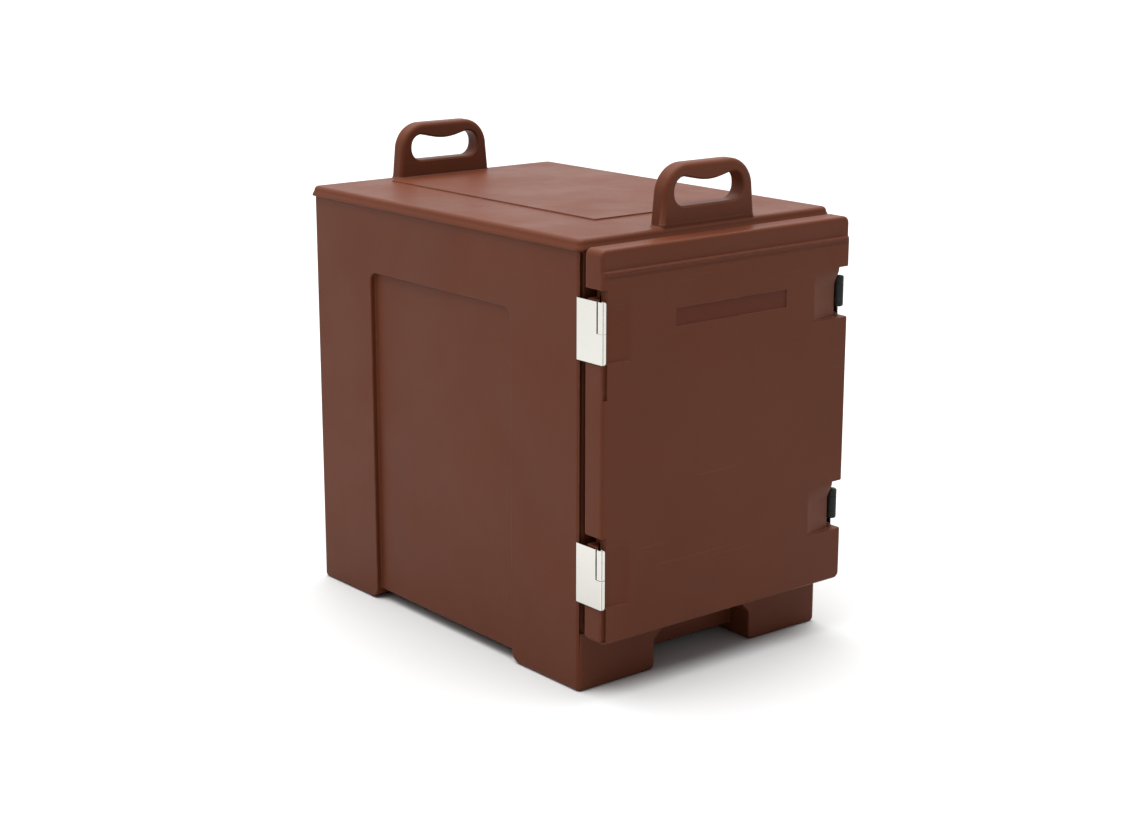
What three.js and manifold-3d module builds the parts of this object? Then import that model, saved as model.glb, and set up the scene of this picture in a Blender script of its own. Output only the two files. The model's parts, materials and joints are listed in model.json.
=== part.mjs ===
// Insulated, end-loading food pan carrier: a foam-filled cabinet with a side-hinged door.
// Millimetres, +Z up, +X to the right, the door faces -Y.
// The carrier's own Y is counted from the cabinet's front rim; the last lines centre the whole object on it.

import * as THREE from 'three';
import { mergeVertices } from 'three/addons/utils/BufferGeometryUtils.js';
import Module from 'manifold-3d';

const wasm = await Module();
wasm.setup();

// ---------------------------------------------------------------- driving dimensions

const gap = 0.3; // left between touching pieces
const halfWidth = 215;
const depth = 600;
const deckZ = 588;
const undersideZ = 16;
const cornerRadius = 8;
const skin = 4; // moulded wall thickness

const lip = 4.5; // how far the lid slab's lower edge stands out
const lipZ = 574;
const stackingRise = 2;
const stacking = { halfWidth: 105, front: 103, back: 565, radius: 4 };

const footLength = { x: 129, y: 128 };
const footRound = 6;
const sidePanel = { recess: 8, margin: 141, top: 482, radius: 12 };
const liftRecess = { halfWidth: 86, deep: 38, top: 62, chamfer: 20 };

const handle = {
  halfWidth: 81, topHalf: 77, height: 79, thick: 25, shoulder: 40, edge: 6, setBack: 0.5, buried: 8,
};
const grip = { halfWidth: 59, low: 25, high: 62, radius: 17, bulge: 7 };

const cavity = { halfWidth: 170, low: 100, high: 548, deep: 540 };
const rail = { count: 6, first: 138, pitch: 66, thick: 10, reach: 14, front: 20, back: 528 };

const door = { low: 76, high: 580, front: -44, back: -10, radius: 9, edge: 5 };
const bead = { low: 549.5, high: 554, left: -211, right: 214, proud: 1.9, setBack: 2.2, round: 2, edge: 1 };
const plaque = { left: -95, right: 98, low: 472, high: 495.5, deep: 1.5 };
const plug = { halfWidth: 160, low: 106, high: 542, into: 12, radius: 10, edge: 2 };
const seal = { inside: 178, thick: 12, radius: 10, margin: 6 };

const hingeAxis = { x: 207, y: -33 };
const hingeHeights = { upper: 479, lower: 182.5 };
const knuckle = { radius: 6.5, half: 21, middle: 10.7, between: 0.5 };
const hingePin = { radius: 2.5, clear: 0.1, inset: 1 };
const notch = { half: 34, inner: 196.5, floor: -26, slotHalf: 23, slotInner: 199 };
const hingeScoop = { start: 147, deep: 9, step: 0.8 };

const latchBottoms = { upper: 439.5, lower: 125 };
const latch = { height: 78, sheet: 1.5, outerX: -217.5, frontY: -46, rearY: 2.5, flangeX: -211 };
const latchSlot = { long: 39.5, nearY: -37.8, farY: -35.2 };
const latchPin = { x: -213.5, y: -42, radius: 1.25, knuckle: 2.4, clear: 0.1, web: 2, inset: 1 };
const latchPlate = { sheet: 1.4, frontY: -35.5, backY: -14, lowInset: 6, highInset: 2, armY: -34, tie: 2 };
const hook = { frontY: -3.2, half: 12, short: 0.4 };
const pocket = { height: 92, floorX: -210.6, cornerX: -207.5, cornerY: -36.2, clear: 0.5 };
const latchScoop = { end: -167, deep: 6 };
const groove = { left: -213, right: -208.5, deep: 5.5, length: 46 };
const keeper = { half: 14, innerX: -191, bendX: -204, outerX: -211.2, standOff: 5.2, sheet: 1.5 };

const leaf = { thick: 3, bodyHalf: 30, doorHalf: 34, bodyX: [193, 213.3], doorX: [192, 208], arm: 4.3 };

const fillPlug = { radius: 15, flange: 19, flangeThick: 2.5, behind: 4, cabinetZ: 300 };
const screw = { shank: 2, head: 3.4, headHigh: 1.8, length: 14, seatGap: 0.1 };
const leafScrews = { bodyX: 202.5, bodySpread: 22, doorX: 201, doorSpread: 29 };
const latchScrews = { y: -22, heights: [16, 64], keeperX: -197.5, keeperSpread: 8 };
const past = 10; // how far a cutting tool runs beyond the faces that it cuts

// ---------------------------------------------------------------- finishes

const finishes = {
  brown: { color: 0x5c382d, roughness: 0.55, metalness: 0 },
  liner: { color: 0x553328, roughness: 0.6, metalness: 0 },
  foam: { color: 0xe8d9a8, roughness: 0.95, metalness: 0 },
  rubber: { color: 0x1b1b1b, roughness: 0.8, metalness: 0 },
  black: { color: 0x232624, roughness: 0.5, metalness: 0 },
  steel: { color: 0xd9dadb, roughness: 0.2, metalness: 1 },
};

// ---------------------------------------------------------------- solids

function solid(geometry) {
  for (const name of Object.keys(geometry.attributes)) {
    if (name !== 'position') geometry.deleteAttribute(name);
  }
  const merged = mergeVertices(geometry, 1e-4);
  return new wasm.Manifold(new wasm.Mesh({
    numProp: 3,
    vertProperties: new Float32Array(merged.attributes.position.array),
    triVerts: new Uint32Array(merged.index.array),
  }));
}

function joined(...solids) {
  return solids.reduce((whole, next) => whole.add(next));
}

function cut(body, ...tools) {
  return tools.reduce((left, tool) => left.subtract(tool), body);
}

// Turns an outline to face along an axis: it is drawn in (y, z) for X, in (x, z) for Y and in (x, y) for Z.
const outlineFrames = {
  x: new THREE.Matrix4().makeBasis(
    new THREE.Vector3(0, 1, 0), new THREE.Vector3(0, 0, 1), new THREE.Vector3(1, 0, 0)),
  y: new THREE.Matrix4().makeBasis(
    new THREE.Vector3(1, 0, 0), new THREE.Vector3(0, 0, 1), new THREE.Vector3(0, -1, 0)),
  z: new THREE.Matrix4(),
};

function prism(outline, axis, from, to, round = 0, curveSegments = 4) {
  const geometry = new THREE.ExtrudeGeometry(outline, {
    depth: to - from - 2 * round,
    curveSegments,
    bevelEnabled: round > 0,
    bevelSize: round,
    bevelOffset: -round,
    bevelThickness: round,
    bevelSegments: 2,
  });
  const start = axis === 'y' ? -to + round : from + round;
  geometry.translate(0, 0, start);
  geometry.applyMatrix4(outlineFrames[axis]);
  return solid(geometry);
}

function block(x, y, z) {
  const geometry = new THREE.BoxGeometry(x[1] - x[0], y[1] - y[0], z[1] - z[0]);
  geometry.translate((x[0] + x[1]) / 2, (y[0] + y[1]) / 2, (z[0] + z[1]) / 2);
  return solid(geometry);
}

// A rod along Y or Z, from one place on its axis to another.
function rod(axis, centre, radius, from, to, sides = 20) {
  const geometry = new THREE.CylinderGeometry(radius, radius, to - from, sides);
  geometry.translate(0, (from + to) / 2, 0);
  if (axis === 'z') geometry.rotateX(Math.PI / 2);
  geometry.translate(...centre);
  return solid(geometry);
}

function roundedRectangle(x, y, radius) {
  const shape = new THREE.Shape();
  shape.absarc(x[1] - radius, y[1] - radius, radius, 0, Math.PI / 2);
  shape.absarc(x[0] + radius, y[1] - radius, radius, Math.PI / 2, Math.PI);
  shape.absarc(x[0] + radius, y[0] + radius, radius, Math.PI, 1.5 * Math.PI);
  shape.absarc(x[1] - radius, y[0] + radius, radius, 1.5 * Math.PI, 2 * Math.PI);
  shape.closePath();
  return shape;
}

function polygon(points) {
  return new THREE.Shape(points.map(([x, y]) => new THREE.Vector2(x, y)));
}

function mirroredX(body) {
  return body.mirror([1, 0, 0]);
}

function mesh(name, finish, body) {
  const { vertProperties, triVerts } = body.getMesh();
  const geometry = new THREE.BufferGeometry();
  geometry.setAttribute('position', new THREE.BufferAttribute(vertProperties, 3));
  geometry.setIndex(new THREE.BufferAttribute(triVerts, 1));
  geometry.computeVertexNormals();
  const made = new THREE.Mesh(geometry, new THREE.MeshStandardMaterial(finishes[finish]));
  made.name = name;
  return made;
}

// ---------------------------------------------------------------- fasteners

const screwSides = 12;

const screwTurns = {
  x: (way) => new THREE.Matrix4().makeRotationZ(-way * Math.PI / 2),
  y: (way) => (way > 0 ? new THREE.Matrix4() : new THREE.Matrix4().makeRotationX(Math.PI)),
};

// A pan-head screw along an axis, its head's underside at `seat`, driven towards `way` (+1 or -1).
function turnedScrew(axis, way, seat, grow = 0) {
  const { shank, head, headHigh, length } = screw;
  const profile = [
    [0, length + grow],
    [shank + grow, length - shank + grow],
    [shank + grow, -grow],
    [head + grow, -grow],
    [head + grow, -0.5 * headHigh - grow],
    [0.6 * head + grow, -headHigh - grow],
    [0, -headHigh - grow],
  ].map(([radius, along]) => new THREE.Vector2(radius, along));
  const geometry = new THREE.LatheGeometry(profile.reverse(), screwSides);
  geometry.applyMatrix4(screwTurns[axis](way));
  geometry.translate(...seat);
  return solid(geometry);
}

function screwSet(prefix, axis, way, seats) {
  return seats.map((seat, i) => ({
    name: `${prefix}_screw_${i + 1}`,
    body: turnedScrew(axis, way, seat),
    hole: turnedScrew(axis, way, seat, gap),
  }));
}

// ---------------------------------------------------------------- cabinet

function handleArch(front) {
  const { halfWidth: base, topHalf, height, thick, shoulder, edge, buried } = handle;
  const top = deckZ + height;
  const outline = new THREE.Shape();
  outline.moveTo(-base, deckZ - buried);
  outline.lineTo(base, deckZ - buried);
  outline.lineTo(base, deckZ);
  outline.lineTo(topHalf, top - shoulder);
  outline.absarc(topHalf - shoulder, top - shoulder, shoulder, 0, Math.PI / 2);
  outline.absarc(shoulder - topHalf, top - shoulder, shoulder, Math.PI / 2, Math.PI);
  outline.closePath();
  const { halfWidth: reach, radius, bulge } = grip;
  const low = deckZ + grip.low;
  const high = deckZ + grip.high;
  const hole = new THREE.Shape();
  hole.absarc(-reach + radius, low + radius, radius, Math.PI, 1.5 * Math.PI);
  hole.absarc(reach - radius, low + radius, radius, 1.5 * Math.PI, 2 * Math.PI);
  hole.absarc(reach - radius, high - radius, radius, 0, Math.PI / 2);
  hole.quadraticCurveTo(0, high - 2 * bulge, -reach + radius, high);
  hole.absarc(-reach + radius, high - radius, radius, Math.PI / 2, Math.PI);
  const arcSteps = 6;
  const arch = prism(outline, 'y', front, front + thick, edge, arcSteps);
  return cut(arch, prism(hole, 'y', front - past, front + thick + past, 0, arcSteps));
}

function foot(x, y) {
  return prism(roundedRectangle(x, y, cornerRadius), 'z', 0, undersideZ + 3 * footRound, footRound);
}

function lidSlab() {
  const outline = roundedRectangle(
    [-halfWidth - lip, halfWidth + lip], [-lip, depth + lip], cornerRadius + lip);
  const slabRound = 6;
  const low = lipZ - 2 * slabRound;
  const thickSlab = prism(outline, 'z', low, deckZ, slabRound);
  const below = block([-halfWidth - past, halfWidth + past], [-past, depth + past], [low - past, lipZ]);
  return cut(thickSlab, below);
}

function sideRecess() {
  const { recess, margin, top, radius } = sidePanel;
  const outline = roundedRectangle([margin, depth - margin], [-2 * radius, top], radius);
  return prism(outline, 'x', -halfWidth - past, -halfWidth + recess);
}

function liftingRecess(from, to) {
  const { halfWidth: half, top, chamfer } = liftRecess;
  const outline = polygon([
    [-half, -past], [half, -past], [half, top - chamfer], [half - chamfer, top], [chamfer - half, top],
    [-half, top - chamfer],
  ]);
  return prism(outline, 'y', from, to);
}

// The space behind the cabinet's skin, drawn `inset` inside it.
function cabinetInside(inset) {
  const half = halfWidth - sidePanel.recess - skin - inset;
  const wall = skin + inset;
  const ceiling = deckZ - wall - stackingRise;
  const above = block([-half, half], [wall, depth - wall], [liftRecess.top + wall, ceiling]);
  const deep = liftRecess.deep + wall;
  const below = block([-half, half], [deep, depth - deep], [undersideZ + wall, liftRecess.top + 2 * skin]);
  return joined(above, below);
}

// The liner's outer shape, grown by a margin and begun at `from`.
function linerOutside(grow, from) {
  const { halfWidth: half, low, high, deep } = cavity;
  const out = skin + grow;
  return block([-half - out, half + out], [from, deep + out], [low - out, high + out]);
}

function cabinetShell(holes) {
  const outline = roundedRectangle([-halfWidth, halfWidth], [0, depth], cornerRadius);
  const outer = prism(outline, 'z', undersideZ, deckZ - footRound);
  const { x, y } = footLength;
  const feet = [[-halfWidth, x - halfWidth], [halfWidth - x, halfWidth]].flatMap((across) => [
    foot(across, [0, y]),
    foot(across, [depth - y, depth]),
  ]);
  const { halfWidth: stackHalf, front, back, radius } = stacking;
  const stackPanel = prism(
    roundedRectangle([-stackHalf, stackHalf], [front, back], radius),
    'z', deckZ - skin, deckZ + stackingRise);
  const { setBack, thick } = handle;
  const whole = joined(
    outer, ...feet, lidSlab(), stackPanel, handleArch(setBack), handleArch(depth - thick - setBack));
  const recess = sideRecess();
  const { deep } = liftRecess;
  return cut(
    whole, recess, mirroredX(recess), liftingRecess(-past, deep), liftingRecess(depth - deep, depth + past),
    cabinetInside(0), linerOutside(gap, -past), ...holes);
}

function cabinetLiner() {
  const { halfWidth: half, low, high, deep } = cavity;
  const hollow = block([-half, half], [-past, deep], [low, high]);
  const tub = cut(linerOutside(0, 0), hollow);
  const rails = Array.from({ length: rail.count }, (_, i) => {
    const z = rail.first + i * rail.pitch;
    return block([half - rail.reach, half + gap], [rail.front, rail.back], [z, z + rail.thick]);
  });
  return joined(tub, ...rails, ...rails.map(mirroredX));
}

function cabinetFoam(holes) {
  return cut(cabinetInside(gap), linerOutside(gap, -past), ...holes);
}

// ---------------------------------------------------------------- door

const doorSpan = [door.front - past, door.back + past];

function latchPocket(latchLow) {
  const low = latchLow - pocket.clear;
  const high = low + pocket.height;
  const beyond = -halfWidth - past;
  const side = block([beyond, pocket.floorX], doorSpan, [low, high]);
  const corner = block([beyond, pocket.cornerX], [doorSpan[0], pocket.cornerY], [low, high]);
  const { end, deep } = latchScoop;
  const wedge = prism(polygon([
    [end, door.front], [end, doorSpan[0]], [beyond, doorSpan[0]], [beyond, door.front + deep],
  ]), 'z', low, high);
  return joined(side, corner, wedge);
}

function latchGroove(from, to) {
  return block([groove.left, groove.right], [doorSpan[0], door.front + groove.deep], [from, to]);
}

function hingeNotch(centre) {
  const { half, inner, floor, slotHalf, slotInner } = notch;
  const heights = [centre - half, centre + half];
  const beyond = halfWidth + past;
  const recess = block([inner, beyond], [doorSpan[0], floor], heights);
  const slot = block([slotInner, beyond], doorSpan, [centre - slotHalf, centre + slotHalf]);
  const { start, deep, step } = hingeScoop;
  const wedge = prism(polygon([
    [start, doorSpan[0]], [inner, doorSpan[0]], [inner, door.front + deep], [start, door.front + step],
  ]), 'z', ...heights);
  return joined(recess, slot, wedge);
}

// The space inside the door, kept clear of the latch pockets and the hinge notches.
function doorInside(shrink) {
  const { low, high, front, back } = door;
  const wall = skin + shrink;
  const around = 2 * skin + shrink;
  const whole = block(
    [-halfWidth + 3 * skin + shrink, halfWidth - around], [front + wall + bead.setBack, back - wall],
    [low + wall, high - wall]);
  const latchSides = Object.values(latchBottoms).map((z) => block(
    [-halfWidth, latchScoop.end + wall], [front, back], [z - around, z + pocket.height + around]));
  const tall = notch.half + around;
  const hingeSides = Object.values(hingeHeights).map((z) => block(
    [hingeScoop.start - wall, halfWidth], [front, back], [z - tall, z + tall]));
  return cut(whole, ...latchSides, ...hingeSides);
}

function doorShell(holes) {
  const { low, high, front, back, radius, edge } = door;
  const across = [-halfWidth, halfWidth];
  const slab = prism(roundedRectangle(across, [low, high], radius), 'y', front, back, edge);
  const topBand = block(
    [-halfWidth - past, halfWidth + past], [front - past, front + bead.setBack], [bead.high, high + past]);
  const beadBar = prism(
    roundedRectangle([bead.left, bead.right], [bead.low, bead.high], bead.round),
    'y', front - bead.proud, front + 2 * bead.proud, bead.edge);
  const plate = block(
    [plaque.left, plaque.right], [front - past, front + plaque.deep], [plaque.low, plaque.high]);
  const window = block(
    [-plug.halfWidth - gap, plug.halfWidth + gap], [back - 3 * skin, back + past],
    [plug.low - gap, plug.high + gap]);
  const pockets = Object.values(latchBottoms).map(latchPocket);
  const grooves = [
    latchGroove(latchBottoms.upper - groove.length, latchBottoms.upper),
    latchGroove(low + skin, latchBottoms.lower),
  ];
  const notches = Object.values(hingeHeights).map(hingeNotch);
  return cut(
    joined(cut(slab, topBand), beadBar), plate, window, doorInside(0), ...pockets, ...grooves, ...notches,
    ...holes);
}

function doorInnerPanel(plugHole) {
  const { halfWidth: half, low, high, into, radius, edge } = plug;
  const pan = prism(roundedRectangle([-half, half], [low, high], radius), 'y', door.back - skin, into, edge);
  const hollow = block(
    [-half + skin, half - skin], [door.back - 2 * skin, into - skin], [low + skin, high - skin]);
  return cut(pan, hollow, plugHole);
}

function doorFoam(holes) {
  const { halfWidth: half, low, high, into } = plug;
  const inset = skin + gap;
  const core = block(
    [-half + inset, half - inset], [door.back - 2 * skin, into - inset], [low + inset, high - inset]);
  return cut(joined(doorInside(gap), core), ...holes);
}

function doorSeal() {
  const { inside, thick, radius, margin } = seal;
  const low = cavity.low - margin;
  const high = cavity.high + margin;
  const outside = inside + thick;
  const ring = roundedRectangle([-outside, outside], [low - thick, high + thick], radius + thick);
  ring.holes.push(roundedRectangle([-inside, inside], [low, high], radius));
  return prism(ring, 'y', door.back + gap, -gap);
}

// ---------------------------------------------------------------- hinges

function hingeBore(z) {
  const reach = knuckle.half + past;
  return rod('z', [hingeAxis.x, hingeAxis.y, 0], hingePin.radius + hingePin.clear, z - reach, z + reach);
}

function cabinetLeaf(z, holes) {
  const { x, y } = hingeAxis;
  const { radius, middle } = knuckle;
  const { thick, bodyHalf, bodyX, arm: armWide } = leaf;
  const plate = block(bodyX, [-gap - thick, -gap], [z - bodyHalf, z + bodyHalf]);
  const arm = block([bodyX[1] - armWide, bodyX[1]], [y, -gap], [z - middle, z + middle]);
  const barrel = rod('z', [x, y, 0], radius, z - middle, z + middle);
  return cut(joined(plate, arm, barrel), hingeBore(z), ...holes);
}

function doorLeaf(z, holes) {
  const { x, y } = hingeAxis;
  const { radius, middle, half, between } = knuckle;
  const { thick, doorHalf, doorX, arm: armWide } = leaf;
  const plate = block(doorX, [door.back - thick, door.back], [z - doorHalf, z + doorHalf]);
  const inner = middle + between;
  const armX = [x - radius, x - radius + armWide];
  const ends = [[z + inner, z + half], [z - half, z - inner]].flatMap((heights) => [
    block(armX, [y, door.back - thick / 2], heights),
    rod('z', [x, y, 0], radius, ...heights),
  ]);
  const window = block([notch.slotInner, doorX[1] + past], doorSpan, [z - inner, z + inner]);
  return cut(joined(cut(plate, window), ...ends), hingeBore(z), ...holes);
}

function hingePinBody(z) {
  const reach = knuckle.half - hingePin.inset;
  return rod('z', [hingeAxis.x, hingeAxis.y, 0], hingePin.radius, z - reach, z + reach);
}

// The bed that a door leaf is let into, in the door's back face.
function doorLeafBed(z) {
  const { thick, doorHalf, doorX } = leaf;
  return block(
    [doorX[0] - gap, doorX[1] + gap], [door.back - thick - gap, doorSpan[1]],
    [z - doorHalf - gap, z + doorHalf + gap]);
}

// ---------------------------------------------------------------- latches

const pinSides = 16;

// The sheet bent round the door's edge, with the curl that the pin goes through.
function latchCorner(low, high) {
  const { outerX, frontY, flangeX, sheet } = latch;
  const { x, y, knuckle: radius, web: webThick } = latchPin;
  const side = block([outerX, outerX + sheet], [frontY, latchSlot.nearY], [low, high]);
  const flange = block([outerX, flangeX], [frontY, frontY + sheet], [low, high]);
  const curl = rod('z', [x, y, 0], radius, low, high, pinSides);
  const web = block([outerX + sheet / 2, x], [y - webThick / 2, y + webThick / 2], [low, high]);
  return joined(side, flange, curl, web);
}

function latchBore(low) {
  const { x, y, radius, clear } = latchPin;
  return rod('z', [x, y, 0], radius + clear, low - past, low + latch.height + past, pinSides);
}

function latchLever(low) {
  const { outerX, sheet, height, rearY, frontY } = latch;
  const split = low + height - latchSlot.long;
  const corner = latchCorner(low, split - gap);
  const side = block([outerX, outerX + sheet], [latchSlot.farY, rearY], [low, low + height]);
  const lowerSide = block([outerX, outerX + sheet], [frontY, rearY], [low, split - gap]);
  const middle = low + height / 2;
  const catchBar = block(
    [outerX + sheet / 2, keeper.outerX - hook.short], [hook.frontY, hook.frontY + sheet],
    [middle - hook.half, middle + hook.half]);
  return cut(joined(corner, side, lowerSide, catchBar), latchBore(low));
}

function latchBase(low, holes) {
  const split = low + latch.height - latchSlot.long + gap;
  const { sheet, frontY, backY, lowInset, highInset, armY, tie: tieThick } = latchPlate;
  const right = pocket.floorX - gap;
  const plateTop = low + latch.height - highInset;
  const plate = block([right - sheet, right], [frontY, backY], [low + lowInset, plateTop]);
  const corner = latchCorner(split, low + latch.height);
  const arm = block([right - sheet, right], [latchPin.y, armY], [split, plateTop]);
  const tie = block([latchPin.x, right], [latchPin.y, latchPin.y + tieThick], [split, plateTop]);
  return cut(joined(plate, corner, arm, tie), latchBore(low), ...holes);
}

function latchPinBody(low) {
  const { x, y, radius, inset } = latchPin;
  return rod('z', [x, y, 0], radius, low + inset, low + latch.height - inset, pinSides);
}

function keeperPlate(low, holes) {
  const middle = low + latch.height / 2;
  const { half, innerX, bendX, outerX, standOff, sheet } = keeper;
  const heights = [middle - half, middle + half];
  const base = block([bendX, innerX], [-gap - sheet, -gap], heights);
  const step = block([bendX - sheet, bendX], [-standOff, -gap], heights);
  const nose = block([outerX, bendX], [-standOff, -standOff + sheet], heights);
  return cut(joined(base, step, nose), ...holes);
}

// ---------------------------------------------------------------- fill plugs

const plugSides = 24;

// A push-in plug for the hole in a back face at `face`.
function plugBody(face, z) {
  const { radius, flange, flangeThick, behind } = fillPlug;
  const stem = rod('y', [0, 0, z], radius, face - skin - behind, face + gap, plugSides);
  return joined(stem, rod('y', [0, 0, z], flange, face + gap, face + gap + flangeThick, plugSides));
}

function plugHole(face, z) {
  const { radius, behind } = fillPlug;
  return rod('y', [0, 0, z], radius + gap, face - skin - behind - gap, face + past, plugSides);
}

// ---------------------------------------------------------------- assembly

const carrier = new THREE.Group();

function add(name, finish, body) {
  carrier.add(mesh(name, finish, body));
}

const bodyLeafSeatY = -gap - leaf.thick - screw.seatGap;
const doorLeafSeatY = door.back + screw.seatGap;
const baseSeatX = pocket.floorX - gap - latchPlate.sheet - screw.seatGap;
const keeperSeatY = -gap - keeper.sheet - screw.seatGap;
const pair = (spread) => [-spread, spread];

const hinges = Object.entries(hingeHeights).map(([place, z]) => ({
  place,
  z,
  bodyScrews: screwSet(`${place}_cabinet_leaf`, 'y', 1,
    pair(leafScrews.bodySpread).map((dz) => [leafScrews.bodyX, bodyLeafSeatY, z + dz])),
  doorScrews: screwSet(`${place}_door_leaf`, 'y', -1,
    pair(leafScrews.doorSpread).map((dz) => [leafScrews.doorX, doorLeafSeatY, z + dz])),
}));

const latches = Object.entries(latchBottoms).map(([place, low]) => {
  const middle = low + latch.height / 2;
  return {
    place,
    low,
    baseScrews: screwSet(`${place}_latch_base`, 'x', 1,
      latchScrews.heights.map((dz) => [baseSeatX, latchScrews.y, low + dz])),
    keeperScrews: screwSet(`${place}_keeper`, 'y', 1,
      pair(latchScrews.keeperSpread).map((dz) => [latchScrews.keeperX, keeperSeatY, middle + dz])),
  };
});

const holesOf = (screws) => screws.map((each) => each.hole);
const screwsOf = (fittings, set) => fittings.flatMap((fitting) => fitting[set]);
const cabinetHoles = holesOf([...screwsOf(hinges, 'bodyScrews'), ...screwsOf(latches, 'keeperScrews')]);
const doorHoles = holesOf([...screwsOf(hinges, 'doorScrews'), ...screwsOf(latches, 'baseScrews')]);
const leafBeds = hinges.map((h) => doorLeafBed(h.z));

const doorPlugZ = (plug.low + plug.high) / 2;
const cabinetPlugHole = plugHole(depth, fillPlug.cabinetZ);
const doorPlugHole = plugHole(plug.into, doorPlugZ);

add('cabinet_shell', 'brown', cabinetShell([...cabinetHoles, cabinetPlugHole]));
add('cabinet_liner', 'liner', cabinetLiner());
add('cabinet_foam', 'foam', cabinetFoam([...cabinetHoles, cabinetPlugHole]));
add('cabinet_fill_plug', 'black', plugBody(depth, fillPlug.cabinetZ));

add('door_shell', 'brown', doorShell([...doorHoles, ...leafBeds]));
add('door_inner_panel', 'liner', doorInnerPanel(doorPlugHole));
add('door_foam', 'foam', doorFoam([...doorHoles, ...leafBeds, doorPlugHole]));
add('door_fill_plug', 'black', plugBody(plug.into, doorPlugZ));
add('door_gasket', 'rubber', doorSeal());

for (const { place, z, bodyScrews, doorScrews } of hinges) {
  add(`${place}_hinge_cabinet_leaf`, 'black', cabinetLeaf(z, holesOf(bodyScrews)));
  add(`${place}_hinge_door_leaf`, 'black', doorLeaf(z, holesOf(doorScrews)));
  add(`${place}_hinge_pin`, 'steel', hingePinBody(z));
  for (const each of [...bodyScrews, ...doorScrews]) add(each.name, 'steel', each.body);
}

for (const { place, low, baseScrews, keeperScrews } of latches) {
  add(`${place}_latch_base`, 'steel', latchBase(low, holesOf(baseScrews)));
  add(`${place}_latch_lever`, 'steel', latchLever(low));
  add(`${place}_latch_pin`, 'steel', latchPinBody(low));
  add(`${place}_latch_keeper`, 'steel', keeperPlate(low, holesOf(keeperScrews)));
  for (const each of [...baseScrews, ...keeperScrews]) add(each.name, 'steel', each.body);
}

// The origin is on the floor, halfway between the latches' front face and the lid slab's rear edge.
carrier.position.y = -(latch.frontY + depth + lip) / 2;

const object = new THREE.Group();
object.add(carrier);

export default object;
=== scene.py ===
import json
import math

import bmesh
import bpy
from mathutils import Matrix, Vector


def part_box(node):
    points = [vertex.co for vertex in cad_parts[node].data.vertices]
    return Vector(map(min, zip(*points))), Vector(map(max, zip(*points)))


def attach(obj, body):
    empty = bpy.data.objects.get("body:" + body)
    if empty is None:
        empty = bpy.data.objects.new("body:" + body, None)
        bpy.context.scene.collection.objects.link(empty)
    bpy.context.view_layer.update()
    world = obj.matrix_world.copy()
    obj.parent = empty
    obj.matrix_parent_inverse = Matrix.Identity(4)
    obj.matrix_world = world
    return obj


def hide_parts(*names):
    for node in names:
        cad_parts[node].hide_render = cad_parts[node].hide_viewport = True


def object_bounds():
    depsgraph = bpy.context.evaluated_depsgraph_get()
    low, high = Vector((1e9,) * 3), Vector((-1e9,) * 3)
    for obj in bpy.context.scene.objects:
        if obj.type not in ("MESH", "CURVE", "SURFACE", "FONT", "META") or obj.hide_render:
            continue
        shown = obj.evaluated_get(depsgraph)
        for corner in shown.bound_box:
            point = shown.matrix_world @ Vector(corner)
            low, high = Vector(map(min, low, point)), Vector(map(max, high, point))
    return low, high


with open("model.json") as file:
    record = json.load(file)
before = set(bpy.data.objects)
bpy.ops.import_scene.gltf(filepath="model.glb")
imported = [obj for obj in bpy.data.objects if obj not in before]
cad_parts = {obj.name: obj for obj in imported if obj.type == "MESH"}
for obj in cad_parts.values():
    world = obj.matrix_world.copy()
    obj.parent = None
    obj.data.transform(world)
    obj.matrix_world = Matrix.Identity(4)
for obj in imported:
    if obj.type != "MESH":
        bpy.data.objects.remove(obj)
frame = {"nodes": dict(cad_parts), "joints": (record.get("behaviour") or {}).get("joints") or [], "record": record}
cad_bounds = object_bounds()

# Metres. +Z up, +X to the right, the door faces -Y. Every piece keeps its place in its mesh.

scene = bpy.context.scene
record = frame["record"]
openings = {opening["name"]: opening["box_m"] for opening in record["physics"]["openings"]}
mounts = {mount["name"]: mount for mount in record["mounts"]}
joints = {joint["name"]: joint for joint in frame["joints"]}

# ---------------------------------------------------------------- places taken from the frame

FIT = 0.0003  # the gap that the frame keeps between touching pieces
BEYOND = 0.01  # how far a cutting piece reaches past what it cuts
STACKING_RISE = 0.002

shell_low, shell_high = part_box("cabinet_shell")
liner_low, liner_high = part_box("cabinet_liner")
door_low, door_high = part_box("door_shell")

RIM_Y = liner_low.y
LIP = RIM_Y - shell_low.y
HALF_WIDTH = shell_high.x - LIP
BACK_Y = shell_high.y - LIP
DECK_Z = mounts["stacking_deck"]["pos_m"][2] - STACKING_RISE
UNDERSIDE_Z = openings["gap_under_front_to_back"][1][2] + 0.001
HANDLE_TOP = shell_high.z

BEAD_PROUD = 0.0019
DOOR_FRONT = door_low.y + BEAD_PROUD
DOOR_BACK = door_high.y

PLUG_CAP = 0.019
PLUG_STEM = 0.015
LEAF_THICK = 0.003
DOOR_LEAF_X = (0.192, 0.208)

# ---------------------------------------------------------------- outlines and solids


def arc(centre, radii, start, end, steps):
    """Points on an elliptical arc, its ends given in degrees."""
    turns = [math.radians(start + (end - start) * i / steps) for i in range(steps + 1)]
    return [(centre[0] + radii[0] * math.cos(t), centre[1] + radii[1] * math.sin(t)) for t in turns]


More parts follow.
